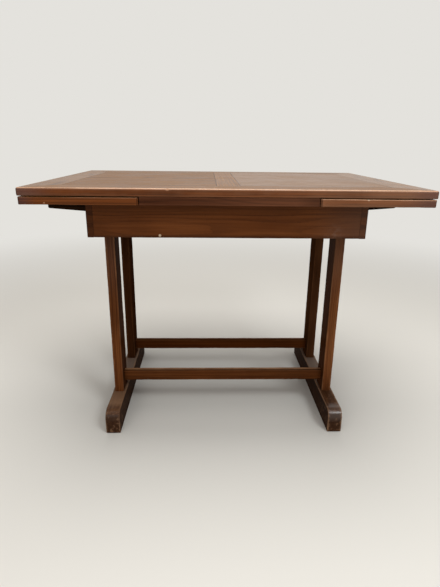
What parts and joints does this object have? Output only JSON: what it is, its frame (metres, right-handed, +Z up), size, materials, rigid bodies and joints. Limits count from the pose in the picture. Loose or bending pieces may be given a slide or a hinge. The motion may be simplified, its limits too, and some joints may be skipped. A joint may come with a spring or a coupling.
{
  "type": "draw-leaf dining table",
  "caption": "Dining table whose framed top sits over two draw leaves on tapered bearers, on a dovetailed apron box, post trestles, sled feet and stretchers.",
  "frame": {"origin": "on the floor, under the middle of the closed table", "axes": "+Z up, +X along the length towards the right leaf, -Y towards the front"},
  "size_m": [1.03, 0.735, 0.753],
  "materials": {
    "stained_oak": "satin",
    "oak_panel": "satin",
    "plain_hardwood": "matte",
    "screw_steel": "satin"
  },
  "bodies": {
    "frame": {"left_foot": "stained_oak", "right_foot": "stained_oak", "front_left_post": "stained_oak", "rear_left_post": "stained_oak", "front_right_post": "stained_oak", "rear_right_post": "stained_oak", "front_stretcher": "stained_oak", "rear_stretcher": "stained_oak", "front_apron": "stained_oak", "rear_apron": "stained_oak", "left_apron": "stained_oak", "right_apron": "stained_oak", "centre_board": "stained_oak", "corner_blocks": "plain_hardwood", "centre_board_screws": "screw_steel", "post_screws": "screw_steel"},
    "left_leaf": {"left_leaf_front_rail": "stained_oak", "left_leaf_rear_rail": "stained_oak", "left_leaf_outer_rail": "stained_oak", "left_leaf_inner_rail": "stained_oak", "left_leaf_panel": "oak_panel", "left_leaf_front_bearer": "plain_hardwood", "left_leaf_rear_bearer": "plain_hardwood", "left_leaf_stops": "plain_hardwood", "left_leaf_screws": "screw_steel"},
    "right_leaf": {"right_leaf_front_rail": "stained_oak", "right_leaf_rear_rail": "stained_oak", "right_leaf_outer_rail": "stained_oak", "right_leaf_inner_rail": "stained_oak", "right_leaf_panel": "oak_panel", "right_leaf_front_bearer": "plain_hardwood", "right_leaf_rear_bearer": "plain_hardwood", "right_leaf_stops": "plain_hardwood", "right_leaf_screws": "screw_steel"},
    "guide_pegs": {"guide_pegs": "plain_hardwood"},
    "top": {"top_front_rail": "stained_oak", "top_rear_rail": "stained_oak", "top_left_rail": "stained_oak", "top_right_rail": "stained_oak", "top_muntin": "stained_oak", "top_left_panel": "oak_panel", "top_right_panel": "oak_panel"}
  },
  "joints": [
    {"name": "left_leaf_draw", "type": "slide", "parent": "frame", "child": "left_leaf", "axis": [-0.9972, 0, 0.0751], "range_m": [0, 0.29283]},
    {"name": "right_leaf_draw", "type": "slide", "parent": "frame", "child": "right_leaf", "axis": [0.9972, 0, 0.0751], "range_m": [0, 0.29283]},
    {"name": "top_rise_at_left", "type": "hinge", "parent": "frame", "child": "guide_pegs", "pos_m": [0.515, 0, 0.733], "axis": [0, 1, 0], "range_deg": [0, 1.27]},
    {"name": "top_rise_at_right", "type": "hinge", "parent": "guide_pegs", "child": "top", "pos_m": [-0.515, 0, 0.733], "axis": [0, -1, 0], "range_deg": [0, 1.27]}
  ],
  "couplings": [
    {"joint": "top_rise_at_left", "follows": "left_leaf_draw", "rad_per_m": 0.0755},
    {"joint": "top_rise_at_right", "follows": "right_leaf_draw", "rad_per_m": 0.0755}
  ]
}
